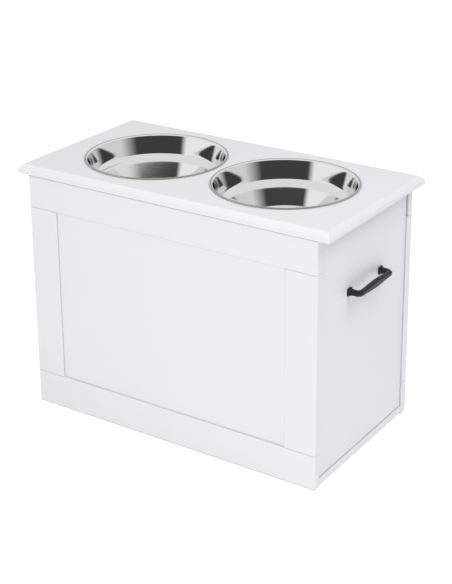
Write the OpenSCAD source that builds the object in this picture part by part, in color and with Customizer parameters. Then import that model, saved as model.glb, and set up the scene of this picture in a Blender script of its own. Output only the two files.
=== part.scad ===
// Elevated pet feeder with storage: a painted board cabinet whose top board
// holds two lift-out steel bowls and whose right end is a pull-out food drawer.
// Millimetres. +Z is up, +X runs towards the drawer's end, -Y is the front.
// The origin lies on the floor under the middle of the top board.

/* [Top board] */
// Length of the top board, left to right
top_l = 600; // [590:1:680]
// Depth of the top board, front to back
top_d = 316; // [314:1:360]
// Thickness of the top board
top_t = 15; // [14:0.5:20]
// How far the moulded edge runs in from the board's outline
edge_run = 9.5; // [5:0.5:11]
// Height of the upright land under the moulded edge
edge_land = 6.5; // [3:0.5:8]
// Small step between the land and the moulding
edge_quirk = 0.6; // [0.2:0.1:1.5]
// How far the moulding swells out past its chord
edge_swell = 1.2; // [0.4:0.1:2]

/* [Cabinet] */
// Length of the cabinet, left to right
body_l = 558; // [550:1:585]
// Depth of the cabinet, front to back
body_d = 310; // [300:1:314]
// Height from the floor to the underside of the top board
body_h = 420; // [390:1:480]
// Thickness of the rails and stiles
frame_t = 15; // [14:0.5:18]
// Thickness of the rear top rail, which is a lighter board
rear_rail_t = 12; // [12:0.5:14]
// Height of the top rails
top_rail_h = 57; // [45:1:70]
// Height of the bottom rails
bottom_rail_h = 60; // [48:1:75]
// Width of the stiles
stile_w = 56; // [50:1:75]
// Thickness of the front and rear panels
panel_t = 6; // [4:0.5:7]
// How far the panels lie behind the face of the frame
panel_set = 3; // [2:0.5:4]
// Depth of the grooves that hold the panels
panel_groove = 7; // [5:0.5:8]
// Thickness of the left side panel
side_t = 15; // [14:0.5:16]
// How far the two ends lie inside the frame's edges
side_inset = 3; // [1:0.5:5]
// Thickness of the base board
base_t = 10; // [9:0.5:14]
// Height of the base board above the floor
base_rise = 4; // [2:0.5:8]
// Eased arris on every board
arris = 1; // [0.3:0.1:1.2]

/* [Bowls] */
// Diameter of a bowl over its rolled rim
bowl_rim_d = 244; // [220:1:246]
// Distance between the centres of the bowls
bowl_pitch = 256; // [254:1:264]
// Depth of a bowl, from the top of its rim to its floor
bowl_depth = 80; // [70:1:90]
// Thickness of the bowl's sheet
bowl_wall = 1; // [0.8:0.1:1.5]
// Width of the rolled rim
rim_w = 4.5; // [3.5:0.5:9]
// Height of the rolled rim above the top board
rim_h = 2.5; // [2:0.5:5]
// How far the upper wall runs in on its way to the step
wall_draft = 10; // [7:0.5:12]
// Depth of the step in the bowl's wall below the top of its rim
step_depth = 37; // [32:1:42]
// Width of the step
step_w = 10; // [8:0.5:14]
// Fall of the step towards the middle of the bowl
step_fall = 5; // [1:0.5:6]
// Radius of the hollow in which the upper wall turns into the step
step_hollow_r = 12; // [5:0.5:12]
// How far the lower wall runs in on its way to the floor
lower_draft = 15.5; // [8:0.5:18]
// Radius of the hollow between the lower wall and the floor
floor_hollow_r = 12; // [8:0.5:16]
// Gap between the bowl and its cut-out
bowl_clear = 0.5; // [0.5:0.1:1.5]

/* [Drawer] */
// Thickness of the drawer's front board
drawer_front_t = 15; // [15:0.5:18]
// Gap round the drawer's front board
front_gap = 1; // [0.8:0.1:3]
// Thickness of the drawer's two sides
drawer_side_t = 12; // [12:0.5:15]
// Thickness of the drawer's back
drawer_back_t = 12; // [12:0.5:15]
// Thickness of the drawer's bottom
drawer_bottom_t = 6; // [4:0.5:8]
// Height of the drawer's bottom above the lower edge of its sides
bottom_lift = 10; // [8:0.5:14]
// Depth of the grooves that hold the drawer's bottom
bottom_groove = 5; // [4:0.5:6]
// Gap between the drawer's back and the left side panel
back_gap = 0.5; // [0.3:0.1:2]
// Gap between the drawer's sides and the guide strips
side_play = 0.8; // [0.5:0.1:1.5]
// Running gap under the glides
glide_gap = 0.2; // [0.1:0.1:0.5]
// Gap between the drawer's sides and the kickers above them
kick_gap = 1; // [0.5:0.1:2]

/* [Guides] */
// Width of a guide strip
guide_w = 8; // [8:0.5:12]
// Height of a guide strip
guide_h = 20; // [20:1:30]
// Width of a kicker
kicker_w = 17; // [15:0.5:22]
// Height of a kicker
kicker_h = 15; // [12:0.5:20]
// Height of a glide
glide_h = 3; // [2:0.5:5]
// Width of a glide
glide_w = 10; // [7:0.5:11]
// Length of a glide
glide_l = 36; // [20:1:50]

/* [Handle] */
// Distance between the handle's two screws
handle_pitch = 102; // [76:1:160]
// Height of the handle above the floor
handle_z = 300; // [150:1:340]
// How far the handle stands out of the drawer's front
handle_reach = 24; // [20:0.5:24]
// Side of a handle's square foot
foot_w = 13; // [12:0.5:18]
// Thickness of the flat plate under each foot
foot_t = 1.8; // [1:0.1:3]
// Thickness of the handle's neck and bends
neck_w = 9.5; // [7:0.5:10]
// Height of the grip at its middle
grip_h = 13; // [10:0.5:16]
// Thickness of the grip at its middle
grip_t = 9.5; // [8:0.5:11]
// Radius of the handle's bends
bend_r = 6.5; // [5.5:0.5:9]
// Width of the flats cut along the handle's four corners, as a share of its thickness
corner_cut = 0.27; // [0.1:0.01:0.35]

/* [Fasteners] */
// Diameter of the dowels
dowel_d = 6; // [5:0.5:7]
// Length of the dowels
dowel_l = 30; // [20:1:40]
// Depth that a lid dowel stands in the top board
lid_dowel_in = 9; // [6:0.5:11]
// Diameter of the cam discs
cam_d = 15; // [12:0.5:16]
// Distance from a joint to the middle of its cam disc
cam_reach = 24; // [22:1:34]
// Diameter of a cam bolt's thread
bolt_thread_d = 5; // [4:0.5:6]
// Depth of a cam bolt's thread in the board that it screws into
bolt_thread_l = 11; // [8:0.5:12]
// Diameter of the wood screws
screw_d = 3.5; // [3:0.1:4]
// Diameter of the handle's screws
handle_screw_d = 4; // [3:0.5:5]
// Length of a lid bracket's legs
bracket_leg = 20; // [16:1:24]
// Width of a lid bracket
bracket_w = 16; // [12:1:24]
// Thickness of a lid bracket
bracket_t = 2; // [1.5:0.1:2.5]
// Distance from the middle to the brackets and base screws on the left side panel
side_fixing_y = 80; // [50:1:95]
// Height of the cabinet's lower cams above the floor
cam_low = 110; // [90:1:150]
// Distance of the cabinet's upper cams below the top board
cam_drop = 105; // [80:1:130]
// Height of the drawer's lower cams above the floor
drawer_cam_low = 62; // [55:1:80]
// Distance of the drawer's upper cams below the top of its sides
drawer_cam_drop = 42; // [30:1:60]
// Height of the drawer's lower dowels above the floor
drawer_dowel_low = 100; // [90:1:130]
// Distance of the drawer's upper dowels below the top of its sides
drawer_dowel_drop = 80; // [70:1:110]
// Height of the lowest screw in the drawer's back
back_screw_low = 70; // [55:1:90]
// Distance of the highest screw in the drawer's back below the top of its sides
back_screw_drop = 45; // [30:1:60]

/* [Hidden] */
$fn = 48;

// Colours of the finishes
paint = [0.93, 0.93, 0.94];
steel = [0.76, 0.77, 0.78];
black = [0.10, 0.10, 0.11];
beech = [0.80, 0.66, 0.46];
nylon = [0.90, 0.90, 0.88];

// Fits between the pieces
eps = 0.01;            // run of a cut past the face that it opens
fit_r = 0.05;          // radial gap of a dowel, bolt or screw in its hole
groove_fit = 0.1;      // gap on each side of a board in its groove
groove_end = 0.5;      // gap between a board's edge and the bottom of its groove
step_over = 3;         // how far a cut for a countersink or a slot reaches past its face

// Main planes of the cabinet
end_x = body_l / 2;
face_y = body_d / 2;
inner_y = face_y - frame_t;
rear_rail_y = face_y - rear_rail_t;
top_rail_z = body_h - top_rail_h;
base_z = base_rise + base_t;
side_x = end_x - side_inset;           // outer face of both ends
left_in_x = side_x - side_t;           // inner face of the left side panel
groove_y = face_y - panel_set;         // outer face of a panel
dowel_y = face_y - rear_rail_t / 2;    // middle of the dowels, inside the lighter rail too
dowel_spread = stile_w / 4;            // dowels to each side of a stile's middle

// Bowls
rim_r = bowl_rim_d / 2;
neck_r = rim_r - rim_w;                // inside of the bowl under its rim
cut_r = neck_r + bowl_wall + bowl_clear;
seat_z = body_h + top_t;               // upper face of the top board
step_z = rim_h - step_depth;           // heights in a bowl count from the top board's face
step_out_r = neck_r - wall_draft;
step_in_r = step_out_r - step_w;
floor_r = step_in_r - lower_draft;
bowl_low_z = seat_z + rim_h - bowl_depth - bowl_wall;
bowl_air = 4;                          // air between a bowl and what lies under it

// Drawer
front_in_x = side_x - drawer_front_t;  // inner face of the drawer's front board
front_half_y = inner_y - front_gap;
drawer_back_x = back_gap - left_in_x;
drawer_half_y = inner_y - guide_w - side_play;
side_low_z = base_z + glide_gap + glide_h;
kicker_top_z = min(bowl_low_z - bowl_air, top_rail_z - 1);
kicker_low_z = kicker_top_z - kicker_h;
side_top_z = kicker_low_z - kick_gap;
bottom_z = side_low_z + bottom_lift;
runner_end_x = front_in_x - 2;         // the guides and kickers stop short of the drawer's front

// Fastener places
lid_dowel_x = [-end_x + stile_w / 2, end_x - stile_w / 2];
bracket_x = [-bowl_pitch * 0.75, 0, bowl_pitch * 0.75];
bracket_y = [-side_fixing_y, side_fixing_y];
cam_z = [cam_low, body_h - cam_drop];
drawer_cam_z = [drawer_cam_low, side_top_z - drawer_cam_drop];
drawer_dowel_z = [drawer_dowel_low, side_top_z - drawer_dowel_drop];
back_screw_top = side_top_z - back_screw_drop;
back_screw_z = [back_screw_low, (back_screw_low + back_screw_top) / 2, back_screw_top];
guide_screw_x = [-body_l * 0.4, -body_l * 0.135, body_l * 0.135, body_l * 0.4];
base_screw_x = [-body_l * 0.27, 0, body_l * 0.27];
side_screw_y = [-side_fixing_y, side_fixing_y];
kicker_screw_x = end_x - stile_w * 0.66;
glide_x = [drawer_back_x + glide_l, front_in_x - glide_l];

// Screws: head diameter over shank diameter, and lengths
head_ratio = 2;
guide_screw_l = guide_w + frame_t * 0.75;
kicker_screw_l = kicker_w + frame_t * 0.75;
base_screw_l = base_t + guide_h * 0.6;
side_screw_l = base_t + 25;
bracket_screw_l = bracket_t + rear_rail_t * 0.75;
back_screw_l = drawer_side_t + 32;
cam_wall = 2.5;                        // wood left behind a cam disc
bolt_shank_d = 6;
bolt_neck_d = 3.5;
bolt_head_l = 3;

// ---------- shapes that repeat ----------

// Outline of an eased board
module eased(a, b) {
  e = arris;
  polygon([[e, 0], [a - e, 0], [a, e], [a, b - e], [a - e, b], [e, b], [0, b - e], [0, e]]);
}

// Board between two corners, with every arris eased
module board(low, high) {
  s = high - low;
  translate(low) intersection() {
    linear_extrude(s.z) eased(s.x, s.y);
    translate([0, s.y, 0]) rotate([90, 0, 0]) linear_extrude(s.y) eased(s.x, s.z);
    rotate([90, 0, 90]) linear_extrude(s.x) eased(s.y, s.z);
  }
}

// Plain block between two corners, for grooves
module block(low, high) {
  translate(low) cube(high - low);
}

// Points along an arc from p to q that bulges by the given height to its right
function arc_between(p, q, rise, n) =
  let (c = norm(q - p), r = (c * c / 4 + rise * rise) / (2 * rise),
       d = (q - p) / c, side = [d.y, -d.x], m = (p + q) / 2 - side * (r - rise),
       half = asin(c / 2 / r))
  [for (i = [0:n]) let (a = -half + 2 * half * i / n) m + r * (d * sin(a) + side * cos(a))];

// Polyline [x, y, radius] with each corner rounded
function rounded(pts, n) = [for (i = [0:len(pts) - 1])
  let (p = [pts[i].x, pts[i].y], r = pts[i][2])
  if (r == 0 || i == 0 || i == len(pts) - 1) p
  else let (a = [pts[i - 1].x, pts[i - 1].y], b = [pts[i + 1].x, pts[i + 1].y],
            u = (a - p) / norm(a - p), v = (b - p) / norm(b - p),
            half = acos(u * v) / 2, cut = r / tan(half), w = (u + v) / norm(u + v),
            m = p + w * r / sin(half), s = p + u * cut - m, t = p + v * cut - m,
            turn = 180 - 2 * half)
       each [for (k = [0:n]) m + (s * sin(turn * (1 - k / n)) + t * sin(turn * k / n)) / sin(turn)]];

// Countersunk screw along +Z with the top of its head at z = 0
module wood_screw(d, l) {
  head = d * head_ratio;
  translate([0, 0, -(head - d) / 2]) cylinder(d1 = d, d2 = head, h = (head - d) / 2);
  translate([0, 0, -l]) cylinder(d = d, h = l - (head - d) / 2 + eps);
}

// Hole that a countersunk screw sits in
module wood_screw_hole(d, l) {
  head = d * head_ratio + 2 * fit_r;
  shank = d + 2 * fit_r;
  translate([0, 0, -(head - shank) / 2]) cylinder(d1 = shank, d2 = head, h = (head - shank) / 2);
  translate([0, 0, -eps]) cylinder(d = head, h = step_over);
  translate([0, 0, -l - fit_r]) cylinder(d = shank, h = l);
}

// Pan head screw along +Z with the seat of its head at z = 0
module pan_screw(d, l) {
  head_h = d * 0.6;
  translate([0, 0, -l]) cylinder(d = d, h = l + eps);
  rotate_extrude() polygon(concat([[0, 0], [d, 0]],
    [for (a = [0:15:75]) [d * cos(a), head_h * (0.35 + 0.65 * sin(a))]], [[0, head_h]]));
}

// Dowel with chamfered ends, along Z about its middle
module dowel() {
  c = dowel_d / 8;
  rotate_extrude() polygon([[0, -dowel_l / 2], [dowel_d / 2 - c, -dowel_l / 2],
    [dowel_d / 2, c - dowel_l / 2], [dowel_d / 2, dowel_l / 2 - c],
    [dowel_d / 2 - c, dowel_l / 2], [0, dowel_l / 2]]);
}

// Hole for a dowel, as much deeper than the dowel as glue needs
module dowel_hole() {
  cylinder(d = dowel_d + 2 * fit_r, h = dowel_l + 1, center = true);
}

// Cam bolt along +Z: thread below z = 0, shank, neck and head above it
module cam_bolt() {
  neck_z = cam_reach - bolt_head_l * 1.5;
  rotate_extrude() polygon([[0, -bolt_thread_l], [bolt_thread_d / 2 - 1, -bolt_thread_l],
    [bolt_thread_d / 2, 1 - bolt_thread_l], [bolt_thread_d / 2, 0], [bolt_shank_d / 2, 0],
    [bolt_shank_d / 2, neck_z - bolt_head_l], [bolt_neck_d / 2, neck_z - bolt_head_l],
    [bolt_neck_d / 2, neck_z + bolt_head_l / 2], [bolt_shank_d / 2, neck_z + bolt_head_l / 2],
    [bolt_shank_d / 2, neck_z + bolt_head_l * 1.5], [0, neck_z + bolt_head_l * 1.5]]);
}

// Thread hole of a cam bolt, in the board that it screws into
module bolt_thread_hole() {
  translate([0, 0, -bolt_thread_l - 0.5]) cylinder(d = bolt_thread_d + 2 * fit_r, h = bolt_thread_l + 1);
}

// Edge bore for a cam bolt's shank, in the board that holds the cam
module bolt_shank_hole() {
  translate([0, 0, -1]) cylinder(d = bolt_shank_d + 1, h = cam_reach + 1);
}

// Cam disc along +Z, sunk below z = 0, slotted towards -X for the bolt's head
module cam_disc(depth) {
  wall = 1.5;
  difference() {
    translate([0, 0, -depth]) cylinder(d = cam_d - 2 * fit_r, h = depth - 0.2);
    translate([-cam_d, -bolt_neck_d / 2 - 0.5, -depth - 1]) cube([cam_d, bolt_neck_d + 1, depth - wall + 1]);
    translate([-bolt_head_l - 0.5, -bolt_shank_d / 2 - 0.5, -depth - 1])
      cube([bolt_head_l + 1, bolt_shank_d + 1, depth - wall + 1]);
    translate([-cam_d * 0.3, -0.6, -1.2]) cube([cam_d * 0.6, 1.2, step_over]);
    translate([-0.6, -cam_d * 0.3, -1.2]) cube([1.2, cam_d * 0.6, step_over]);
  }
}

// Pocket for a cam disc
module cam_pocket(depth) {
  translate([0, 0, -depth - fit_r]) cylinder(d = cam_d, h = depth + step_over);
}

// ---------- top board ----------

// Section across the top board, moulded on both edges
module moulded_section(half) {
  curve = arc_between([half - edge_quirk, edge_land], [half - edge_run, top_t], edge_swell, 6);
  right = concat([[half - arris, 0], [half, arris], [half, edge_land]], curve);
  polygon(concat(right, [for (i = [len(right) - 1:-1:0]) [-right[i].x, right[i].y]]));
}

module top_board() {
  color(paint) difference() {
    translate([0, 0, body_h]) intersection() {
      rotate([90, 0, 90]) linear_extrude(top_l, center = true) moulded_section(top_d / 2);
      rotate([90, 0, 0]) linear_extrude(top_d, center = true) moulded_section(top_l / 2);
    }
    for (s = [-1, 1])
      translate([s * bowl_pitch / 2, 0, body_h - 1]) cylinder(r = cut_r, h = top_t + 2, $fn = 128);
    place_lid_dowels() dowel_hole();
    place_brackets() lid_leg_screw() wood_pilot(bracket_screw_l);
  }
}

// ---------- front and rear frames ----------

// Draws the front frame's pieces, or the rear frame's when back is true
module turned(back) {
  if (back) mirror([0, 1, 0]) children();
  else children();
}

module place_frame_dowels() {
  for (x = lid_dowel_x, o = [-dowel_spread, dowel_spread], z = [bottom_rail_h, top_rail_z])
    translate([x + o, -dowel_y, z]) children();
}

module place_lid_dowels() {
  for (s = [-1, 1], x = lid_dowel_x)
    translate([x, s * dowel_y, body_h + lid_dowel_in - dowel_l / 2]) children();
}

// Groove that holds a panel along the inner edges of the frame
module panel_groove_cut() {
  x = end_x - stile_w + panel_groove;
  block([-x, -groove_y - groove_fit, bottom_rail_h - panel_groove],
        [x, -groove_y + panel_t + groove_fit, top_rail_z + panel_groove]);
}

module top_rail(t) {
  difference() {
    board([-end_x, -face_y, top_rail_z], [end_x, t - face_y, body_h]);
    panel_groove_cut();
    place_frame_dowels() dowel_hole();
    place_lid_dowels() dowel_hole();
  }
}

module bottom_rail() {
  difference() {
    board([-end_x, -face_y, 0], [end_x, -inner_y, bottom_rail_h]);
    panel_groove_cut();
    place_frame_dowels() dowel_hole();
    place_guide_screws() wood_screw_hole(screw_d, guide_screw_l);
  }
}

// Stile at the left (side = -1) or the right (side = 1)
module stile(side) {
  x = [side * end_x, side * (end_x - stile_w)];
  difference() {
    board([min(x), -face_y, bottom_rail_h], [max(x), -inner_y, top_rail_z]);
    panel_groove_cut();
    place_frame_dowels() dowel_hole();
    place_kicker_screws() wood_screw_hole(screw_d, kicker_screw_l);
    if (side < 0) place_cams() bolt_thread_hole();
  }
}

module panel() {
  x = end_x - stile_w + panel_groove - groove_end;
  board([-x, -groove_y, bottom_rail_h - panel_groove + groove_end],
        [x, panel_t - groove_y, top_rail_z + panel_groove - groove_end]);
}

module front_top_rail() {
  color(paint) difference() {
    top_rail(frame_t);
    place_brackets() rail_leg_screw() wood_pilot(bracket_screw_l);
  }
}

module rear_top_rail() {
  color(paint) difference() {
    mirror([0, 1, 0]) top_rail(rear_rail_t);
    place_brackets() rail_leg_screw() wood_pilot(bracket_screw_l);
  }
}

module front_bottom_rail() { color(paint) bottom_rail(); }
module rear_bottom_rail() { color(paint) turned(true) bottom_rail(); }
module front_left_stile() { color(paint) stile(-1); }
module front_right_stile() { color(paint) stile(1); }
module rear_left_stile() { color(paint) turned(true) stile(-1); }
module rear_right_stile() { color(paint) turned(true) stile(1); }
module front_panel() { color(paint) panel(); }
module rear_panel() { color(paint) turned(true) panel(); }

// ---------- left side panel and base board ----------

// Front cams of the left side panel, +Z running from the stile into the panel
module place_cams() {
  for (z = cam_z)
    translate([side_t / 2 - side_x, -inner_y, z]) rotate([-90, 0, 0]) children();
}

// Middle of each front cam disc, on the panel's inner face
module place_cam_discs() {
  for (z = cam_z)
    translate([-left_in_x, cam_reach - inner_y, z]) rotate([90, 0, 90]) children();
}

module left_side_panel() {
  color(paint) difference() {
    board([-side_x, -inner_y, base_z], [-left_in_x, inner_y, body_h]);
    for (back = [false, true]) turned(back) {
      place_cams() bolt_shank_hole();
      place_cam_discs() cam_pocket(side_t - cam_wall);
    }
    place_side_screws() wood_screw_hole(screw_d, side_screw_l);
    place_brackets() rail_leg_screw() wood_pilot(bracket_screw_l);
  }
}

module base_board() {
  color(paint) difference() {
    board([-end_x, -inner_y, base_rise], [end_x, inner_y, base_z]);
    place_side_screws() wood_screw_hole(screw_d, side_screw_l);
    for (back = [false, true]) turned(back)
      place_base_screws() wood_screw_hole(screw_d, base_screw_l);
  }
}

// ---------- drawer guides and kickers ----------

module guide_strip() {
  difference() {
    board([-left_in_x, -inner_y, base_z], [runner_end_x, guide_w - inner_y, base_z + guide_h]);
    place_guide_screws() wood_screw_hole(screw_d, guide_screw_l);
    place_base_screws() wood_screw_hole(screw_d, base_screw_l);
  }
}

module kicker() {
  difference() {
    board([-left_in_x, -inner_y, kicker_low_z], [runner_end_x, kicker_w - inner_y, kicker_top_z]);
    place_kicker_screws() wood_screw_hole(screw_d, kicker_screw_l);
  }
}

module front_guide_strip() { color(beech) guide_strip(); }
module rear_guide_strip() { color(beech) turned(true) guide_strip(); }
module front_kicker() { color(beech) kicker(); }
module rear_kicker() { color(beech) turned(true) kicker(); }

// ---------- fasteners of the cabinet ----------

module place_guide_screws() {
  for (x = guide_screw_x)
    translate([x, guide_w - inner_y, base_z + guide_h * 0.6]) rotate([-90, 0, 0]) children();
}

module place_kicker_screws() {
  for (s = [-1, 1])
    translate([s * kicker_screw_x, kicker_w - inner_y, kicker_low_z + kicker_h / 2])
      rotate([-90, 0, 0]) children();
}

module place_base_screws() {
  for (x = base_screw_x)
    translate([x, guide_w / 2 - inner_y, base_rise]) rotate([180, 0, 0]) children();
}

module place_side_screws() {
  for (y = side_screw_y)
    translate([side_t / 2 - side_x, y, base_rise]) rotate([180, 0, 0]) children();
}

// Each lid bracket: X out of the board that it stands on, Z down from the top board
module place_brackets() {
  for (x = bracket_x) {
    translate([x, -inner_y, body_h]) rotate([0, 0, 90]) children();
    translate([x, rear_rail_y, body_h]) rotate([0, 0, -90]) children();
  }
  for (y = bracket_y)
    translate([-left_in_x, y, body_h]) children();
}

// Screw seats on a bracket's upright leg and on its upper leg
module rail_leg_screw() {
  translate([bracket_t, 0, -bracket_leg * 0.6]) rotate([0, 90, 0]) children();
}

module lid_leg_screw() {
  translate([bracket_leg * 0.6, 0, -bracket_t]) rotate([180, 0, 0]) children();
}

// Pilot hole that a pan head screw cuts its thread in
module wood_pilot(l) {
  translate([0, 0, -l - 0.5]) cylinder(d = screw_d + 2 * fit_r, h = l + 1);
}

module bracket() {
  difference() {
    translate([0, bracket_w / 2, 0]) rotate([90, 0, 0]) linear_extrude(bracket_w)
      polygon([[0, 0], [bracket_leg, 0], [bracket_leg, -bracket_t], [bracket_t * 1.5, -bracket_t],
               [bracket_t, -bracket_t * 1.5], [bracket_t, -bracket_leg], [0, -bracket_leg]]);
    rail_leg_screw() wood_pilot(bracket_screw_l);
    lid_leg_screw() wood_pilot(bracket_screw_l);
  }
}

module lid_brackets() { color(steel) place_brackets() bracket(); }

module bracket_screws() {
  color(steel) place_brackets() {
    rail_leg_screw() pan_screw(screw_d, bracket_screw_l);
    lid_leg_screw() pan_screw(screw_d, bracket_screw_l);
  }
}

module frame_dowels() {
  color(beech) for (back = [false, true]) turned(back) place_frame_dowels() dowel();
}

module lid_dowels() { color(beech) place_lid_dowels() dowel(); }

module cabinet_cam_bolts() {
  color(steel) for (back = [false, true]) turned(back) place_cams() cam_bolt();
}

module cabinet_cam_discs() {
  color(steel) for (back = [false, true]) turned(back)
    place_cam_discs() cam_disc(side_t - cam_wall);
}

module guide_screws() {
  color(steel) for (back = [false, true]) turned(back) {
    place_guide_screws() wood_screw(screw_d, guide_screw_l);
    place_kicker_screws() wood_screw(screw_d, kicker_screw_l);
  }
}

module base_screws() {
  color(steel) {
    for (back = [false, true]) turned(back) place_base_screws() wood_screw(screw_d, base_screw_l);
    place_side_screws() wood_screw(screw_d, side_screw_l);
  }
}

// ---------- bowls ----------

// Corner angle of a bowl's section, from the wall that leans by the given run and drop to the step
function step_turn(run, drop) = 90 - atan(run / drop) - atan(step_fall / step_w);

// One bowl: a rolled rim on the top board, a steep wall, a step, a lower wall and a flat floor.
// The step's two fillets share its width, the hollow one taking three quarters of it.
module bowl() {
  w = bowl_wall;
  low = rim_h - bowl_depth;
  lip_z = step_z - step_fall;
  step_run = norm([step_w, step_fall]);
  hollow_r = min(step_hollow_r, step_run * 0.75 / tan(step_turn(wall_draft, step_depth) / 2));
  lip_r = step_run * 0.22 / tan(step_turn(lower_draft, lip_z - low) / 2);
  roll = min(rim_h, rim_w / 1.8) * 0.8;
  inside = rounded([[0, low, 0], [floor_r, low, floor_hollow_r], [step_in_r, lip_z, lip_r],
                    [step_out_r, step_z, hollow_r], [neck_r, rim_h, roll],
                    [rim_r, rim_h, roll], [rim_r, 0, 0]], 6);
  outside = rounded([[neck_r + w, 0, 0], [step_out_r + w, step_z - w, hollow_r + w],
                     [step_in_r + w, lip_z - w, max(lip_r - w, 0.5)],
                     [floor_r + w, low - w, floor_hollow_r + w], [0, low - w, 0]], 6);
  translate([0, 0, seat_z]) rotate_extrude($fn = 128) polygon(concat(inside, outside));
}

module left_bowl() { color(steel) translate([-bowl_pitch / 2, 0, 0]) bowl(); }
module right_bowl() { color(steel) translate([bowl_pitch / 2, 0, 0]) bowl(); }

// ---------- drawer ----------

// Panel that closes the bottom of the drawer, grown by its groove's depth less a gap
module bottom_space(grow, fit) {
  block([drawer_back_x + drawer_back_t - grow, -(drawer_half_y - drawer_side_t) - grow, bottom_z - fit],
        [front_in_x + grow, drawer_half_y - drawer_side_t + grow, bottom_z + drawer_bottom_t + fit]);
}

// Cams that draw the drawer's front to its sides, +Z running from the front into the side
module place_drawer_cams() {
  for (z = drawer_cam_z)
    translate([front_in_x, drawer_side_t / 2 - drawer_half_y, z]) rotate([0, -90, 0]) children();
}

module place_drawer_cam_discs() {
  for (z = drawer_cam_z)
    translate([front_in_x - cam_reach, drawer_side_t - drawer_half_y, z])
      rotate([-90, 0, 0]) mirror([1, 0, 0]) children();
}

module place_drawer_dowels() {
  for (z = drawer_dowel_z)
    translate([front_in_x - dowel_l / 2 + drawer_front_t * 0.6, drawer_side_t / 2 - drawer_half_y, z])
      rotate([0, 90, 0]) children();
}

module place_back_screws() {
  for (z = back_screw_z)
    translate([drawer_back_x + drawer_back_t / 2, -drawer_half_y, z]) rotate([90, 0, 0]) children();
}

// Handle screws, +Z running into the drawer, seat on the front board's inner face
module place_handle_screws() {
  for (s = [-1, 1])
    translate([front_in_x, s * handle_pitch / 2, handle_z]) rotate([0, -90, 0]) children();
}

module drawer_front() {
  color(paint) difference() {
    board([front_in_x, -front_half_y, base_z + front_gap], [side_x, front_half_y, body_h - front_gap]);
    bottom_space(bottom_groove, groove_fit);
    place_handle_screws() cylinder(d = handle_screw_d + 0.5, h = 3 * drawer_front_t, center = true);
    for (back = [false, true]) turned(back) {
      place_drawer_cams() bolt_thread_hole();
      place_drawer_dowels() dowel_hole();
    }
  }
}

module drawer_side() {
  difference() {
    board([drawer_back_x, -drawer_half_y, side_low_z],
          [front_in_x, drawer_side_t - drawer_half_y, side_top_z]);
    bottom_space(bottom_groove, groove_fit);
    place_drawer_cams() bolt_shank_hole();
    place_drawer_cam_discs() cam_pocket(drawer_side_t - cam_wall);
    place_drawer_dowels() dowel_hole();
    place_back_screws() wood_screw_hole(screw_d, back_screw_l);
  }
}

module drawer_front_side() { color(paint) drawer_side(); }
module drawer_rear_side() { color(paint) turned(true) drawer_side(); }

module drawer_back() {
  y = drawer_half_y - drawer_side_t;
  color(paint) difference() {
    board([drawer_back_x, -y, side_low_z], [drawer_back_x + drawer_back_t, y, side_top_z]);
    bottom_space(bottom_groove, groove_fit);
    for (back = [false, true]) turned(back)
      place_back_screws() wood_screw_hole(screw_d, back_screw_l);
  }
}

module drawer_bottom() { color(paint) bottom_space(bottom_groove - groove_end, 0); }

// Glides nailed under the ends of both sides
module drawer_glides() {
  color(nylon) for (s = [-1, 1], x = glide_x)
    translate([x, s * (drawer_half_y - drawer_side_t / 2), side_low_z - glide_h])
      linear_extrude(glide_h) {
        square([glide_l - glide_w, glide_w], center = true);
        for (e = [-1, 1]) translate([e * (glide_l - glide_w) / 2, 0]) circle(d = glide_w);
      }
}

module drawer_dowels() {
  color(beech) for (back = [false, true]) turned(back) place_drawer_dowels() dowel();
}

module drawer_cam_bolts() {
  color(steel) for (back = [false, true]) turned(back) place_drawer_cams() cam_bolt();
}

module drawer_cam_discs() {
  color(steel) for (back = [false, true]) turned(back)
    place_drawer_cam_discs() cam_disc(drawer_side_t - cam_wall);
}

module drawer_back_screws() {
  color(steel) for (back = [false, true]) turned(back)
    place_back_screws() wood_screw(screw_d, back_screw_l);
}

// ---------- handle ----------

// Ring list of the handle's near half: [out, along, turn, height, thickness]
mid_out = handle_reach - grip_t / 2;
bend_y = -handle_pitch / 2 + bend_r;
leg_out = mid_out - bend_r;
foot_rings = [
  [0, foot_w], [foot_t, foot_w], [foot_t + 0.8, foot_w - 1.6],
  [foot_t + 2.4, (foot_w + neck_w) / 2 - 0.6], [foot_t + 4.6, neck_w + 0.3]];
function leg_half() = [for (r = foot_rings) [r[0], -handle_pitch / 2, 0, r[1], r[1]]];
function bend_half() = [for (a = [0:15:90])
  [leg_out + bend_r * sin(a), bend_y - bend_r * cos(a), a, neck_w, neck_w]];
function bar_half() = [for (i = [1:6]) let (k = i / 6, s = (1 - cos(180 * k)) / 2)
  [mid_out, bend_y * (1 - k), 90, neck_w + (grip_h - neck_w) * s, neck_w + (grip_t - neck_w) * s]];
function far_half(h) = [for (i = [len(h) - 2:-1:0]) [h[i][0], -h[i][1], 180 - h[i][2], h[i][3], h[i][4]]];

// Square section with its corners cut to flats and every edge softened a little
edge_soft = 0.4;
foot_cut = 0.15;                       // share of the foot's side that its corner flats take
function cut_square(h, t, c) = [
  [t / 2, h / 2 - c], [t / 2 - c, h / 2], [c - t / 2, h / 2], [-t / 2, h / 2 - c],
  [-t / 2, c - h / 2], [c - t / 2, -h / 2], [t / 2 - c, -h / 2], [t / 2, c - h / 2]];
function softened(o) = [for (i = [0:7])
  let (a = o[(i + 7) % 8] - o[i], b = o[(i + 1) % 8] - o[i])
  each [o[i] + a * edge_soft / norm(a), o[i] + b * edge_soft / norm(b)]];
function ring_points(r) = let (cut = min(r[3], r[4]) * (r[0] <= foot_t ? foot_cut : corner_cut))
  [for (q = softened(cut_square(r[3], r[4], cut)))
    [r[0] - q.x * sin(r[2]), r[1] + q.x * cos(r[2]), q.y]];

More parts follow.
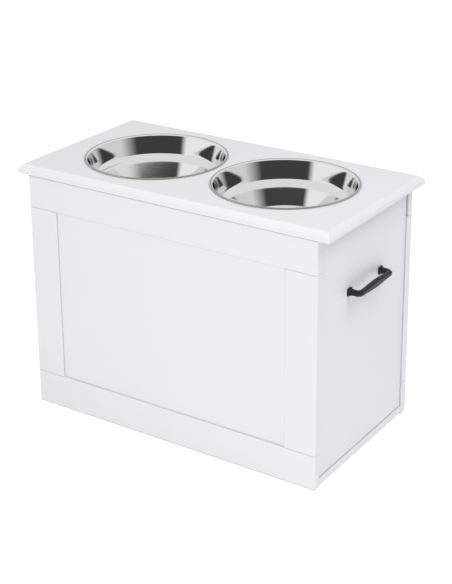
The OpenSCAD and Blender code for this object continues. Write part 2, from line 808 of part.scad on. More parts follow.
// Solid through a run of rings of n points each
module skin(rings) {
  n = len(rings[0]);
  m = len(rings);
  side = [for (j = [0:m - 2], i = [0:n - 1]) let (k = (i + 1) % n)
    each [[j * n + i, j * n + k, (j + 1) * n + k], [j * n + i, (j + 1) * n + k, (j + 1) * n + i]]];
  near_cap = [[for (i = [n - 1:-1:0]) i]];
  far_cap = [[for (i = [0:n - 1]) (m - 1) * n + i]];
  polyhedron([for (r = rings) each r], concat(side, near_cap, far_cap), convexity = 6);
}

module handle() {
  half = concat(leg_half(), bend_half(), bar_half());
  rings = [for (r = concat(half, far_half(half))) ring_points(r)];
  color(black) translate([side_x, 0, handle_z]) difference() {
    skin(rings);
    for (s = [-1, 1])
      translate([-1, s * handle_pitch / 2, 0]) rotate([0, 90, 0])
        cylinder(d = handle_screw_d + 2 * fit_r, h = leg_out + 1);
  }
}

module handle_screws() {
  color(steel) place_handle_screws() pan_screw(handle_screw_d, drawer_front_t + leg_out - 1);
}

// ---------- the whole feeder ----------

top_board();
front_top_rail();
front_bottom_rail();
front_left_stile();
front_right_stile();
front_panel();
rear_top_rail();
rear_bottom_rail();
rear_left_stile();
rear_right_stile();
rear_panel();
left_side_panel();
base_board();
front_guide_strip();
rear_guide_strip();
front_kicker();
rear_kicker();
frame_dowels();
lid_dowels();
lid_brackets();
bracket_screws();
cabinet_cam_bolts();
cabinet_cam_discs();
guide_screws();
base_screws();
left_bowl();
right_bowl();
drawer_front();
drawer_front_side();
drawer_rear_side();
drawer_back();
drawer_bottom();
drawer_glides();
drawer_dowels();
drawer_cam_bolts();
drawer_cam_discs();
drawer_back_screws();
handle();
handle_screws();
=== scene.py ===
from math import acos, asin, cos, hypot, pi, radians, sin, tan

import bmesh
import bpy
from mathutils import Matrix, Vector


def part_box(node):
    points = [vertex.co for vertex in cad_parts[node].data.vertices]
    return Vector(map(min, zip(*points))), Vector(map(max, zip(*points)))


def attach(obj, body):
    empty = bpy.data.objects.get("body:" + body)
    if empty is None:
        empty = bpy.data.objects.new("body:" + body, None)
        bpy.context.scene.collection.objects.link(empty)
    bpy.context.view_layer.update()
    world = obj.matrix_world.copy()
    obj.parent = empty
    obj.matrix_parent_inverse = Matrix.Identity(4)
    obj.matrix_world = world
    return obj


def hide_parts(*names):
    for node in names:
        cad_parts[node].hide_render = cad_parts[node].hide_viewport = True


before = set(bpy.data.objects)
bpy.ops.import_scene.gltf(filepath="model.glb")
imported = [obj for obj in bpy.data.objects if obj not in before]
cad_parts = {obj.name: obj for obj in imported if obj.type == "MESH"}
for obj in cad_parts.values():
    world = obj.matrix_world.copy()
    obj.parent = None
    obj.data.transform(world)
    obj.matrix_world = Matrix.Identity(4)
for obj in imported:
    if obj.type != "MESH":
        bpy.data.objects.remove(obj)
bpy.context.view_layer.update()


# ---------- view ----------
# The feeder is seen over its right front corner from a little above the bowls,
# with a long lens whose picture is shifted up and to the left.
LOOK_DOWN = 18.644
LOOK_LEFT = 32.427
camera_data = bpy.data.cameras.new("camera")
camera_data.lens = 86.252
camera_data.shift_x = -0.0616
camera_data.shift_y = -0.2175
camera = bpy.data.objects.new("camera", camera_data)
camera.location = (1.2309, -1.8060, 1.1797)
camera.rotation_euler = (radians(90 - LOOK_DOWN), 0, radians(LOOK_LEFT))
bpy.context.scene.collection.objects.link(camera)
bpy.context.scene.camera = camera
bpy.context.scene.view_settings.view_transform = "Standard"


# ---------- room ----------
# A white sweep lit evenly from all round. What shines also sees the dark room
# behind the camera, between white reflectors to the left and the right.
def make(tree, kind, inputs=None, **settings):
    """New shader node, with its settings, and its inputs set or linked."""
    made = tree.nodes.new(kind)
    for name, value in settings.items():
        setattr(made, name, value)
    for name, value in (inputs or {}).items():
        if isinstance(value, bpy.types.NodeSocket):
            tree.links.new(value, made.inputs[name])
        else:
            made.inputs[name].default_value = value
    return made


def reckon(tree, operation, first, second):
    """Result of one sum."""
    return make(tree, "ShaderNodeMath", {0: first, 1: second}, operation=operation).outputs[0]


def blend(tree, factor, first, second, blend_type="MIX"):
    """Mix of two colours."""
    return make(tree, "ShaderNodeMix", {"Factor": factor, "A": first, "B": second},
                data_type="RGBA", blend_type=blend_type).outputs["Result"]


def grey_ramp(tree, factor, stops):
    """Colour ramp through greys, given as pairs of place and grey."""
    ramp = make(tree, "ShaderNodeValToRGB", {"Fac": factor})
    points = ramp.color_ramp.elements
    while len(points) < len(stops):
        points.new(0.5)
    for point, (place, grey) in zip(points, stops):
        point.position = place
        point.color = (grey, grey, grey, 1)
    return ramp.outputs["Color"]


def tinted(colour, share=1.0):
    """Colour with four parts, made darker or paler by a share."""
    return (*[part * share for part in colour], 1)


FILL_COLOUR = (0.965, 0.975, 1.0)
FILL_LOW = 0.233
FILL_HIGH = 0.865
# The reflectors stand round an eye that looks from this side and from this far up. They stay there
# when the view moves.
ROOM_TURN = radians(-32.4)
EYE_ANGLE = radians(18.6)
# What polished faces show, by how far they lean back: from which tilt on, in degrees, and then the
# reflectors, each by the turn of the face that shows it, and how bright it is. Walls show the dark
# room between two white reflectors, slopes a white ceiling, and what lies flat the dimmer room above.
SHINY_VIEWS = [
    (0, [(-35, 0.7), (-20, 0.05), (20, 0.05), (25, 0.9)]),
    (25, [(-90, 0.8), (90, 0.8)]),
    (65, [(-90, 0.55), (90, 0.55)]),
]
# Over how many degrees to each side one view fades into the next
VIEW_FADE = 0.5

world = bpy.data.worlds.new("room")
world.use_nodes = True
bpy.context.scene.world = world
room = world.node_tree
facing = make(room, "ShaderNodeMapping", {
    "Vector": make(room, "ShaderNodeTexCoord").outputs["Generated"], "Rotation": (0, 0, ROOM_TURN)})
heading = make(room, "ShaderNodeSeparateXYZ", {"Vector": facing.outputs["Vector"]})
sideways = reckon(room, "MULTIPLY", heading.outputs["X"], -1.0)
nearer = reckon(room, "SUBTRACT", cos(EYE_ANGLE), heading.outputs["Y"])
upward = reckon(room, "ADD", heading.outputs["Z"], sin(EYE_ANGLE))
turn = reckon(room, "ARCTAN2", sideways, nearer)
along_floor = make(room, "ShaderNodeCombineXYZ", {"X": sideways, "Y": nearer}).outputs[0]
level = make(room, "ShaderNodeVectorMath", {0: along_floor}, operation="LENGTH").outputs["Value"]
tilt = reckon(room, "ARCTAN2", upward, level)
turn_share = make(room, "ShaderNodeMapRange", {
    "Value": turn, "From Min": -pi / 2, "From Max": pi / 2}).outputs["Result"]
shiny_view = (0, 0, 0, 1)
for from_tilt, reflectors in SHINY_VIEWS:
    share = make(room, "ShaderNodeMapRange", {
        "Value": tilt, "From Min": radians(from_tilt - VIEW_FADE),
        "From Max": radians(from_tilt + VIEW_FADE)}).outputs["Result"]
    view = grey_ramp(room, turn_share, [((face_turn + 90) / 180, grey) for face_turn, grey in reflectors])
    shiny_view = blend(room, share, shiny_view, view)
fill = blend(room, heading.outputs["Z"], tinted(FILL_COLOUR, FILL_LOW), tinted(FILL_COLOUR, FILL_HIGH))
rays = make(room, "ShaderNodeLightPath")
lit = blend(room, rays.outputs["Is Glossy Ray"], fill, shiny_view)
shown = blend(room, rays.outputs["Is Camera Ray"], lit, (1, 1, 1, 1))
room.links.new(shown, room.nodes["Background"].inputs["Color"])


def lamp(name, place, aim, size, power, colour):
    """Square soft lamp at a place, turned to the point that it lights."""
    data = bpy.data.lights.new(name, "AREA")
    data.shape = "SQUARE"
    data.size = size
    data.energy = power
    data.color = colour
    made = bpy.data.objects.new(name, data)
    made.location = place
    made.rotation_euler = (Vector(aim) - Vector(place)).to_track_quat("-Z", "Y").to_euler()
    made.visible_glossy = False
    bpy.context.scene.collection.objects.link(made)


lamp("front_lamp", place=(0.76, -2.72, 1.4), aim=(0, 0, 0.2), size=1.6, power=30.0, colour=(1.0, 0.99, 0.97))
lamp("right_lamp", place=(1.8, 0.0, 2.8), aim=(0, 0, 0.3), size=1.4, power=25.0, colour=(0.955, 0.97, 1.0))


def add(name, primitive, **options):
    """Adds a primitive, with its place and size put into its mesh."""
    bpy.ops.object.select_all(action="DESELECT")
    primitive(**options)
    piece = bpy.context.object
    piece.name = piece.data.name = name
    bpy.ops.object.transform_apply(location=True, rotation=True, scale=True)
    return piece


def finish(name, colour, roughness, metallic=0.0):
    """New material, with its node tree and its shader."""
    material = bpy.data.materials.new(name)
    material.use_nodes = True
    tree = material.node_tree
    shader = tree.nodes["Principled BSDF"]
    shader.inputs["Base Color"].default_value = tinted(colour)
    shader.inputs["Roughness"].default_value = roughness
    shader.inputs["Metallic"].default_value = metallic
    return material, tree, shader


FLOOR_SIDE = 16
FLOOR_COLOUR = (0.88, 0.88, 0.88)
# How far the paper is lifted towards white where it is seen, but not in the light that it throws
FLOOR_LIFT = 0.45
floor = add("floor", bpy.ops.mesh.primitive_plane_add, size=FLOOR_SIDE)
floor_paper, paper, sheet = finish("floor_paper", FLOOR_COLOUR, 1.0)
sheet.inputs["Specular IOR Level"].default_value = 0.0
seen = make(paper, "ShaderNodeLightPath")
direct = reckon(paper, "MAXIMUM", seen.outputs["Is Camera Ray"], seen.outputs["Is Glossy Ray"])
glow = make(paper, "ShaderNodeEmission", {
    "Color": (1, 1, 1, 1), "Strength": reckon(paper, "MULTIPLY", direct, FLOOR_LIFT)})
both = make(paper, "ShaderNodeAddShader", {0: sheet.outputs[0], 1: glow.outputs[0]})
paper.links.new(both.outputs[0], paper.nodes["Material Output"].inputs["Surface"])
floor.data.materials.append(floor_paper)


# ---------- cabinet boards ----------
# Rails, stiles, panels, base and drawer are cut from medium density
# fibreboard and sprayed with satin white paint, which leaves a fine stipple.
def mapped(tree, scale=(1, 1, 1), location=(0, 0, 0)):
    """Object coordinates, moved and stretched."""
    place = make(tree, "ShaderNodeTexCoord").outputs["Object"]
    return make(tree, "ShaderNodeMapping", {
        "Vector": place, "Scale": scale, "Location": location}).outputs["Vector"]


def noise(tree, vector, scale, detail=2.0, roughness=0.5):
    """Noise from 0 to 1."""
    return make(tree, "ShaderNodeTexNoise", {
        "Vector": vector, "Scale": scale, "Detail": detail, "Roughness": roughness}).outputs["Fac"]


def between(tree, factor, low, high):
    """Value from low to high as the factor goes from 0 to 1."""
    return make(tree, "ShaderNodeMapRange", {
        "Value": factor, "To Min": low, "To Max": high}).outputs["Result"]


def bump(tree, height, distance, strength, normal=None):
    """Normal from a height in metres, perhaps on top of another."""
    inputs = {"Height": height, "Distance": distance, "Strength": strength}
    if normal:
        inputs["Normal"] = normal
    return make(tree, "ShaderNodeBump", inputs).outputs["Normal"]


PAINT = (0.866, 0.863, 0.876)
PAINT_ROUGHNESS = 0.42
ROUGHNESS_SWING = 0.06
CLOUD_DARK = 0.985
CLOUD_PALE = 1.012
# Painted shade in seams, darkening the paint's own colour where the place is closed in: how far it reaches,
# and how dark it is by how open the place is
SEAM_REACH = 0.0055
PAINTED_SEAM_SHADE = [(0.38, 0.95), (0.60, 0.74), (0.68, 0.74), (0.80, 1.0)]
# The painted shadow line close under the top board, darkening the paint where the board's overhang shades
# it: how far down it starts to fade, how far down it is gone, and how dark it is
SHADE_START = 0.0015
SHADE_END = 0.0030
PAINTED_SHADOW_DEPTH = 0.58
SEAM_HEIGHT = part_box("top_board")[0].z


def white_paint(name, painted_shadow_line=False):
    """Satin paint with a fine spray stipple and painted shade in its seams, perhaps with a painted shadow
    line close under the top board.
    """
    material, tree, shader = finish(name, PAINT, PAINT_ROUGHNESS)
    place = mapped(tree)
    waves = bump(tree, noise(tree, place, 45, detail=1.0), distance=0.0002, strength=0.25)
    stipple = bump(tree, noise(tree, place, 750), distance=0.00006, strength=0.6, normal=waves)
    tree.links.new(stipple, shader.inputs["Normal"])
    gloss = between(tree, noise(tree, place, 260, detail=3.0),
                    PAINT_ROUGHNESS - ROUGHNESS_SWING, PAINT_ROUGHNESS + ROUGHNESS_SWING)
    tree.links.new(gloss, shader.inputs["Roughness"])
    shades = blend(tree, noise(tree, place, 5.0), tinted(PAINT, CLOUD_DARK), tinted(PAINT, CLOUD_PALE))
    # Painted shade: the paint's colour is darkened in seams and corners by how closed in they are
    hollow = make(tree, "ShaderNodeAmbientOcclusion", {"Distance": SEAM_REACH}, samples=8)
    shaded = blend(tree, 1.0, shades, grey_ramp(tree, hollow.outputs["AO"], PAINTED_SEAM_SHADE), "MULTIPLY")
    if painted_shadow_line:
        # Painted shadow: the paint's colour is darkened in a band just under the top board
        height = make(tree, "ShaderNodeSeparateXYZ", {"Vector": place}).outputs["Z"]
        shadow_line = make(tree, "ShaderNodeMapRange", {
            "Value": height, "From Min": SEAM_HEIGHT - SHADE_END, "From Max": SEAM_HEIGHT - SHADE_START,
            "To Min": 1.0, "To Max": PAINTED_SHADOW_DEPTH}).outputs["Result"]
        shaded = blend(tree, 1.0, shaded, shadow_line, "MULTIPLY")
    tree.links.new(shaded, shader.inputs["Base Color"])
    return material


def coat(names, material):
    """Gives CAD nodes a finish in place of their plain one."""
    for name in names:
        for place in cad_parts[name].material_slots:
            place.material = material


PAINTED = [
    "front_top_rail", "front_bottom_rail", "front_left_stile", "front_right_stile", "front_panel",
    "rear_top_rail", "rear_bottom_rail", "rear_left_stile", "rear_right_stile", "rear_panel",
    "left_side_panel", "base_board", "drawer_front", "drawer_front_side", "drawer_rear_side",
    "drawer_back", "drawer_bottom",
]
coat(PAINTED, white_paint("satin_white", painted_shadow_line=True))


# ---------- top board ----------
# One painted fibreboard with a moulded edge all round, mitred at the corners,
# and two round cut-outs. It lies on the rails, held by dowels and brackets.
def take(piece):
    """Makes one piece the only selected one, and the active one."""
    bpy.ops.object.select_all(action="DESELECT")
    piece.select_set(True)
    bpy.context.view_layer.objects.active = piece


def edit(piece):
    """Goes into edit mode on one piece."""
    take(piece)
    bpy.ops.object.mode_set(mode="EDIT")


def pick(piece, kind, test):
    """In edit mode, selects only the faces or edges that pass the test."""
    bpy.ops.mesh.select_mode(type=kind)
    bpy.ops.mesh.select_all(action="DESELECT")
    mesh = bmesh.from_edit_mesh(piece.data)
    for part in (mesh.faces if kind == "FACE" else mesh.edges):
        if test(part):
            part.select_set(True)
    bmesh.update_edit_mesh(piece.data)


def done():
    """Back to object mode."""
    bpy.ops.object.mode_set(mode="OBJECT")


def modify(piece, kind, **settings):
    """Adds a modifier and applies it."""
    take(piece)
    modifier = piece.modifiers.new(kind.lower(), kind)
    for name, value in settings.items():
        setattr(modifier, name, value)
    bpy.ops.object.modifier_apply(modifier=modifier.name)


def smooth(piece, angle):
    """Shades smooth, with edges sharper than the angle kept."""
    take(piece)
    bpy.ops.object.shade_smooth_by_angle(angle=radians(angle))


def ease(piece, width):
    """Takes a little off all sharp edges."""
    modify(piece, "BEVEL", width=width, segments=2, limit_method="ANGLE", angle_limit=radians(28))


top_low, top_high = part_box("top_board")
top_size = top_high - top_low
# The edge's upright land, how far that leans back, how far the whole edge runs in, at the ends and
# at the front and back, and how far the sloping part swells
EDGE_LAND = 0.0065
EDGE_LEAN = Vector((0.0005, 0.0013))
EDGE_RUN = Vector((0.0070, 0.0092))
EDGE_SWELL = 0.0005
EDGE_STEPS = 6
BOARD_ARRIS = 0.0005
CUT_RADIUS = 0.119
CUT_EASE = 0.0012
# How closely a face looks along an axis, and how near two measures are taken as one
ALIGNED = 0.9
TOUCH = 1e-5
CUT_TOUCH = 1e-4

top_board = add("painted_top_board", bpy.ops.mesh.primitive_cube_add, size=1,
                location=(0, 0, top_low.z + EDGE_LAND / 2), scale=(top_size.x, top_size.y, EDGE_LAND))
edit(top_board)
pick(top_board, "FACE", lambda face: face.normal.z > ALIGNED)
length, depth = top_size.x - 2 * EDGE_LEAN.x, top_size.y - 2 * EDGE_LEAN.y
bpy.ops.transform.resize(value=(length / top_size.x, depth / top_size.y, 1))
run = EDGE_RUN.y - EDGE_LEAN.y
chord = hypot(run, top_size.z - EDGE_LAND)
swell_radius = (chord ** 2 / 4 + EDGE_SWELL ** 2) / (2 * EDGE_SWELL)
swell_half = asin(chord / 2 / swell_radius)
lean = Vector((run, top_size.z - EDGE_LAND)) / chord
out = Vector((-lean.y, lean.x))
rise = EDGE_LAND
for step in range(1, EDGE_STEPS + 1):
    angle = swell_half * (2 * step / EDGE_STEPS - 1)
    along = chord / 2 + swell_radius * sin(angle)
    bulge = swell_radius * cos(angle) - (swell_radius - EDGE_SWELL)
    run_in, climb = lean * along + out * bulge
    height = EDGE_LAND + climb
    inset = EDGE_LEAN + (EDGE_RUN - EDGE_LEAN) * run_in / run
    bpy.ops.mesh.extrude_region_move(TRANSFORM_OT_translate={"value": (0, 0, height - rise)})
    next_length, next_depth = top_size.x - 2 * inset.x, top_size.y - 2 * inset.y
    bpy.ops.transform.resize(value=(next_length / length, next_depth / depth, 1),
                             center_override=(0, 0, top_low.z + height))
    length, depth, rise = next_length, next_depth, height
done()
ease(top_board, BOARD_ARRIS)

bowl_places = {name: (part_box(name)[0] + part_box(name)[1]) / 2 for name in ("left_bowl", "right_bowl")}
for middle in bowl_places.values():
    cutter = add("cutter", bpy.ops.mesh.primitive_cylinder_add, vertices=128, radius=CUT_RADIUS,
                 depth=3 * top_size.z, location=(middle.x, middle.y, top_low.z))
    modify(top_board, "BOOLEAN", object=cutter, operation="DIFFERENCE", solver="EXACT")
    bpy.data.objects.remove(cutter)


def on_cut_rim(edge):
    """True for the edges round a cut-out, on the board's two faces."""
    a, b = (v.co for v in edge.verts)
    if abs(a.z - b.z) > TOUCH:
        return False
    return any(abs(hypot(v.x - middle.x, v.y - middle.y) - CUT_RADIUS) < CUT_TOUCH
               for middle in bowl_places.values() for v in (a, b))


edit(top_board)
pick(top_board, "EDGE", on_cut_rim)
bpy.ops.mesh.bevel(offset=CUT_EASE, segments=3)
done()
smooth(top_board, 24)
modify(top_board, "WEIGHTED_NORMAL", keep_sharp=True)
top_board.data.materials.append(white_paint("satin_white_top"))
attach(top_board, "cabinet")
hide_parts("top_board")


# ---------- bowls ----------
# Each bowl is spun from one sheet of stainless steel, with a step in its wall
# and a hem rolled under its rim, and hangs by the rim in its cut-out.
def rounded(corners, steps):
    """Points along a line of corners (radius out, height, fillet), each rounded."""
    points = []
    for i, (r, z, fillet) in enumerate(corners):
        here = Vector((r, z))
        if fillet == 0:
            points.append(here)
            continue
        a = (Vector(corners[i - 1][:2]) - here).normalized()
        b = (Vector(corners[i + 1][:2]) - here).normalized()
        half = acos(max(-1, min(1, a.dot(b)))) / 2
        middle = here + (a + b).normalized() * fillet / sin(half)
        start = here + a * fillet / tan(half) - middle
        end = here + b * fillet / tan(half) - middle
        sweep = pi - 2 * half
        for k in range(steps + 1):
            t = k / steps
            points.append(middle + (start * sin(sweep * (1 - t)) + end * sin(sweep * t)) / sin(sweep))
    return points


def spaced(points, gap):
    """The same line with long stretches divided, closer near their ends."""
    out_points = [points[0]]
    for a, b in zip(points, points[1:]):
        length = (b - a).length
        if length > gap:
            edge = min(gap / 3 / length, 0.2)
            count = max(1, round(length / gap))
            shares = [edge, *[edge + (1 - 2 * edge) * k / count for k in range(1, count)], 1 - edge]
            out_points += [a.lerp(b, share) for share in shares]
        out_points.append(b)
    return out_points


RIM_WIDTH = 0.0045
RIM_HEIGHT = 0.0025
RIM_ROLL = 0.0014
RIM_HEEL = 0.0009
NECK_ROLL = 0.0036
# The hem's end under the rim: how far in it reaches, how high it turns up, and its fold
HEM_REACH = 0.0032
HEM_RISE = 0.0009
HEM_FOLD_REACH = 0.0029
HEM_FOLD_LIFT = 0.00002
HEM_FOLD = 0.0003
BOWL_DEPTH = 0.080
STEP_DEPTH = 0.036
STEP_WIDTH = 0.010
STEP_FALL = 0.005
STEP_HOLLOW = 0.012
STEP_LIP = 0.005
WALL_DRAFT = 0.010
LOWER_DRAFT = 0.0178
FLOOR_HOLLOW = 0.012
LAST_RING = 0.002
SHEET = 0.001
FILLET_STEPS = 4
RING_GAP = 0.009
SPIN_FACES = 96
POLISHED = (0.86, 0.86, 0.865)
# Olive grey painted into the rim's outer side as its shade and dark reflection
RIM_SHADE_TINT = (0.50, 0.49, 0.45)
# Where, round the cut-out's radius, the painted shade and dark reflection on the rim's outer side start to
# fade in, and where they are full
RIM_SHADE_FADE_IN = -0.0002
RIM_SHADE_FULL = 0.0008
# How close the spun lines lie, and how they waver round the bowl
LINES_ACROSS = 1500.0
LINES_AROUND = 14.0


def steel(name, middle):
    """Polished stainless steel with fine spun lines round a bowl's middle, with painted shade and a painted
    dark reflection on the rim's outer side."""
    material, tree, shader = finish(name, POLISHED, 0.12, metallic=1.0)
    shader.inputs["Anisotropic"].default_value = 0.4
    tangent = make(tree, "ShaderNodeTangent", direction_type="RADIAL", axis="Z")
    tree.links.new(tangent.outputs["Tangent"], shader.inputs["Tangent"])
    centred = mapped(tree, location=(-middle.x, -middle.y, 0))
    place = make(tree, "ShaderNodeSeparateXYZ", {"Vector": centred}).outputs
    flat = make(tree, "ShaderNodeCombineXYZ", {"X": place["X"], "Y": place["Y"]}).outputs[0]
    radius = make(tree, "ShaderNodeVectorMath", {0: flat}, operation="LENGTH").outputs["Value"]
    # Painted shade and dark reflection: the base colour darkens to an olive grey on the rim's outer side
    rim_shade = make(tree, "ShaderNodeMapRange", {
        "Value": radius, "From Min": CUT_RADIUS + RIM_SHADE_FADE_IN, "From Max": CUT_RADIUS + RIM_SHADE_FULL})
    shades = blend(tree, rim_shade.outputs["Result"], tinted(POLISHED), tinted(RIM_SHADE_TINT))
    tree.links.new(shades, shader.inputs["Base Color"])
    lines_at = make(tree, "ShaderNodeCombineXYZ", {
        "X": reckon(tree, "MULTIPLY", place["X"], LINES_AROUND),
        "Y": reckon(tree, "MULTIPLY", place["Y"], LINES_AROUND),
        "Z": reckon(tree, "MULTIPLY", reckon(tree, "ADD", radius, place["Z"]), LINES_ACROSS)})
    lines = noise(tree, lines_at.outputs[0], 1.0, detail=3.0, roughness=0.6)
    tree.links.new(bump(tree, lines, distance=0.00003, strength=0.3), shader.inputs["Normal"])
    tree.links.new(between(tree, lines, 0.03, 0.09), shader.inputs["Roughness"])
    return material


def make_bowl(name):
    """Modelled ring by ring, from the hem under the rim to the middle of the floor."""
    middle = bowl_places[name]
    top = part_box(name)[1].z
    rim_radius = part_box(name)[1].x - middle.x
    neck = rim_radius - RIM_WIDTH
    step_out = neck - WALL_DRAFT
    step_in = step_out - STEP_WIDTH
    base = step_in - LOWER_DRAFT
    seat = top - RIM_HEIGHT
    corners = [
        (rim_radius - HEM_REACH, seat + HEM_RISE, 0),
        (rim_radius - HEM_FOLD_REACH, seat + HEM_FOLD_LIFT, HEM_FOLD),
        (rim_radius, seat, RIM_HEEL),
        (rim_radius, top, RIM_ROLL),
        (neck, top, NECK_ROLL),
        (step_out, top - STEP_DEPTH, STEP_HOLLOW),
        (step_in, top - STEP_DEPTH - STEP_FALL, STEP_LIP),
        (base, top - BOWL_DEPTH, FLOOR_HOLLOW),
        (LAST_RING, top - BOWL_DEPTH, 0),
    ]
    rings = spaced(rounded(corners, FILLET_STEPS), RING_GAP)
    piece = add(name + "_shell", bpy.ops.mesh.primitive_circle_add, vertices=SPIN_FACES, radius=rings[0].x,
                location=(middle.x, middle.y, rings[0].y))
    edit(piece)
    bpy.ops.mesh.select_all(action="SELECT")
    for a, b in zip(rings, rings[1:]):
        bpy.ops.mesh.extrude_edges_move(TRANSFORM_OT_translate={"value": (0, 0, b.y - a.y)})
        bpy.ops.transform.resize(value=(b.x / a.x, b.x / a.x, 1), center_override=(middle.x, middle.y, b.y))
    bpy.ops.mesh.merge(type="CENTER")
    bpy.ops.mesh.select_all(action="SELECT")
    bpy.ops.mesh.normals_make_consistent(inside=False)
    done()
    floor_face = min(piece.data.polygons, key=lambda face: face.center.z)
    if floor_face.normal.z < 0:
        edit(piece)
        bpy.ops.mesh.select_all(action="SELECT")
        bpy.ops.mesh.flip_normals()
        done()
    modify(piece, "SUBSURF", levels=1, render_levels=1)
    modify(piece, "SOLIDIFY", thickness=SHEET, offset=-1)
    smooth(piece, 40)
    piece.data.materials.append(steel(name + "_steel", middle))
    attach(piece, name + "_body")
    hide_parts(name)


for bowl_name in bowl_places:
    make_bowl(bowl_name)


# ---------- guide strips, kickers and dowels ----------
# Planed beech strips that the drawer runs between and under, screwed to the
# rails and stiles, and beech dowels pressed into their bores. All are left bare.
BEECH = (0.72, 0.56, 0.37)
BEECH_PALE = (0.74, 0.56, 0.36)
BEECH_DARK = (0.62, 0.44, 0.26)
BEECH_FLECK = (0.42, 0.26, 0.14)
# How long figure and flecks are drawn out along the grain
FIGURE_STRETCH = 0.06
FLECK_STRETCH = 0.25


def beech(name, grain):
    """Beech with its grain along one axis: long soft figure and short dark flecks."""
    material, tree, shader = finish(name, BEECH, 0.55)
    along_grain = [[stretch if axis == grain else 1.0 for axis in range(3)]
                   for stretch in (FIGURE_STRETCH, FLECK_STRETCH)]
    figure = noise(tree, mapped(tree, along_grain[0]), 160, detail=4.0, roughness=0.65)
    flecks = noise(tree, mapped(tree, along_grain[1]), 900, detail=1.0)
    shades = blend(tree, grey_ramp(tree, figure, [(0.3, 0.0), (0.7, 1.0)]),
                   tinted(BEECH_PALE), tinted(BEECH_DARK))
    spotted = blend(tree, grey_ramp(tree, flecks, [(0.62, 0.0), (0.72, 0.55)]),
                    shades, tinted(BEECH_FLECK))
    tree.links.new(spotted, shader.inputs["Base Color"])
    tree.links.new(bump(tree, figure, distance=0.0001, strength=0.4), shader.inputs["Normal"])
    return material


coat(["front_guide_strip", "rear_guide_strip", "front_kicker", "rear_kicker", "drawer_dowels"],
     beech("beech_long", 0))
coat(["frame_dowels", "lid_dowels"], beech("beech_upright", 2))


# ---------- cams, brackets and screws ----------
# Cam discs and cam bolts that draw the boards together, angle brackets and
# screws, all of steel with a bright zinc plate.
ZINC = (0.66, 0.67, 0.69)
ZINC_COOL = (0.58, 0.60, 0.63)
ZINC_WARM = (0.74, 0.74, 0.72)


def zinc(name):
    """Bright zinc plate, a little cloudy and with fine tumbling marks."""
    material, tree, shader = finish(name, ZINC, 0.3, metallic=1.0)
    place = mapped(tree)
    cloud = noise(tree, place, 350, detail=3.0)
    tree.links.new(blend(tree, cloud, tinted(ZINC_COOL), tinted(ZINC_WARM)), shader.inputs["Base Color"])
    tree.links.new(between(tree, cloud, 0.22, 0.42), shader.inputs["Roughness"])
    marks = bump(tree, noise(tree, place, 2500, detail=1.0), distance=0.00003, strength=0.4)
    tree.links.new(marks, shader.inputs["Normal"])
    return material


coat(["lid_brackets", "bracket_screws", "cabinet_cam_bolts", "cabinet_cam_discs", "guide_screws",
      "base_screws", "drawer_cam_bolts", "drawer_cam_discs", "drawer_back_screws", "handle_screws"],
     zinc("bright_zinc"))


# ---------- drawer glides ----------
# Small moulded nylon runners, let into the lower edges of the drawer's sides,
# on which it slides over the base board.
NYLON = (0.86, 0.86, 0.83)
nylon, nylon_tree, nylon_shader = finish("moulded_nylon", NYLON, 0.45)
nylon_shader.inputs["Subsurface Weight"].default_value = 0.15
nylon_shader.inputs["Subsurface Radius"].default_value = (0.002, 0.002, 0.002)
nylon_grain = bump(nylon_tree, noise(nylon_tree, mapped(nylon_tree), 1200), distance=0.00005, strength=0.3)
nylon_tree.links.new(nylon_grain, nylon_shader.inputs["Normal"])
coat(["drawer_glides"], nylon)


# ---------- handle ----------
# A cast bridge handle under satin black powder coat, fixed by two screws
# through the drawer's front.
foot_low, foot_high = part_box("handle")
FOOT_WIDTH = 0.013
FOOT_PLATE = 0.0018
# The flare between foot plate and neck: how far out of the drawer's front, and how wide there
FLARE = [(0.0026, 0.0114), (0.0042, 0.0107), (0.0064, 0.0098)]
HANDLE_NECK = 0.0095
GRIP_HEIGHT = 0.013
BEND_RADIUS = 0.0065
BEND_STEPS = 6
GRIP_STEPS = 6
CORNER_CUT = 0.0026
FOOT_CUT = 0.002
HANDLE_ARRIS = 0.0004
# How closely an edge follows the bar
FOLLOWS = 0.7
face_x = foot_low.x
handle_z = (foot_low.z + foot_high.z) / 2
screw_y = foot_high.y - FOOT_WIDTH / 2
mid_x = foot_high.x - HANDLE_NECK / 2
leg_end = mid_x - BEND_RADIUS
bend_y = screw_y - BEND_RADIUS


def push(step, scale, pivot):
    """Extrudes the selected face by a step and scales it about a point."""
    bpy.ops.mesh.extrude_region_move(TRANSFORM_OT_translate={"value": step})
    bpy.ops.transform.resize(value=scale, center_override=pivot)


handle = add("powder_coated_handle", bpy.ops.mesh.primitive_cube_add, size=1,
             location=(face_x + FOOT_PLATE / 2, -screw_y, handle_z),
             scale=(FOOT_PLATE, FOOT_WIDTH, FOOT_WIDTH))
edit(handle)
pick(handle, "FACE", lambda face: face.normal.x > ALIGNED)
x, width = face_x + FOOT_PLATE, FOOT_WIDTH
for reach, wide in FLARE + [(leg_end - face_x, HANDLE_NECK)]:
    ratio = wide / width
    push((face_x + reach - x, 0, 0), (1, ratio, ratio), (face_x + reach, -screw_y, handle_z))
    x, width = face_x + reach, wide
bpy.ops.mesh.spin(steps=BEND_STEPS, angle=radians(-90), center=(leg_end, -bend_y, handle_z), axis=(0, 0, 1))
y, high = -bend_y, HANDLE_NECK
for step in range(1, GRIP_STEPS + 1):
    swell = (1 - cos(pi * step / GRIP_STEPS)) / 2
    next_y = -bend_y * (1 - step / GRIP_STEPS)
    next_high = HANDLE_NECK + (GRIP_HEIGHT - HANDLE_NECK) * swell
    push((0, next_y - y, 0), (1, 1, next_high / high), (mid_x, next_y, handle_z))
    y, high = next_y, next_high
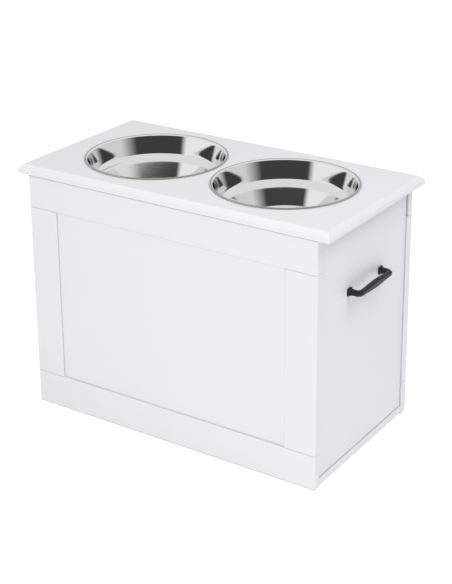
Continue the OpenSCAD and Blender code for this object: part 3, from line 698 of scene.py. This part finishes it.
bpy.ops.mesh.delete(type="FACE")
done()
modify(handle, "MIRROR", use_axis=(False, True, False), merge_threshold=0.0001)


def runs_along(edge):
    """True for the edges that run along the bar, from the flare of one foot to that of the other."""
    a, b = (v.co for v in edge.verts)
    middle, way = (a + b) / 2, (b - a).normalized()
    if min(a.x, b.x) < face_x + FLARE[0][0] - TOUCH:
        return False
    if middle.x < leg_end:
        return abs(way.x) > FOLLOWS
    if abs(middle.y) > bend_y:
        spoke = Vector((middle.x - leg_end, abs(middle.y) - bend_y, 0)).normalized()
        return abs(way.x * spoke.y - way.y * spoke.x * (1 if middle.y > 0 else -1)) > FOLLOWS
    return abs(way.y) > FOLLOWS


def on_foot_corner(edge):
    """True for the four corners of each foot plate."""
    a, b = (v.co for v in edge.verts)
    return abs(a.x - b.x) > FOOT_PLATE / 2 and max(a.x, b.x) < face_x + FOOT_PLATE + TOUCH


edit(handle)
bpy.ops.mesh.select_all(action="SELECT")
bpy.ops.mesh.remove_doubles(threshold=TOUCH)
bpy.ops.mesh.normals_make_consistent(inside=False)
pick(handle, "EDGE", runs_along)
bpy.ops.mesh.bevel(offset=CORNER_CUT, segments=1)
pick(handle, "EDGE", on_foot_corner)
bpy.ops.mesh.bevel(offset=FOOT_CUT, segments=1)
done()
ease(handle, HANDLE_ARRIS)
smooth(handle, 30)
modify(handle, "WEIGHTED_NORMAL", keep_sharp=True)

POWDER_BLACK = (0.010, 0.010, 0.0115)
black_coat, coat_tree, coat_shader = finish("black_powder_coat", POWDER_BLACK, 0.36)
coat_shader.inputs["Specular IOR Level"].default_value = 0.3
coat_place = mapped(coat_tree)
orange_peel = bump(coat_tree, noise(coat_tree, coat_place, 1400), distance=0.00006, strength=0.5)
coat_tree.links.new(orange_peel, coat_shader.inputs["Normal"])
coat_tree.links.new(between(coat_tree, noise(coat_tree, coat_place, 600), 0.33, 0.45),
                    coat_shader.inputs["Roughness"])
handle.data.materials.append(black_coat)
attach(handle, "drawer")
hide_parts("handle")
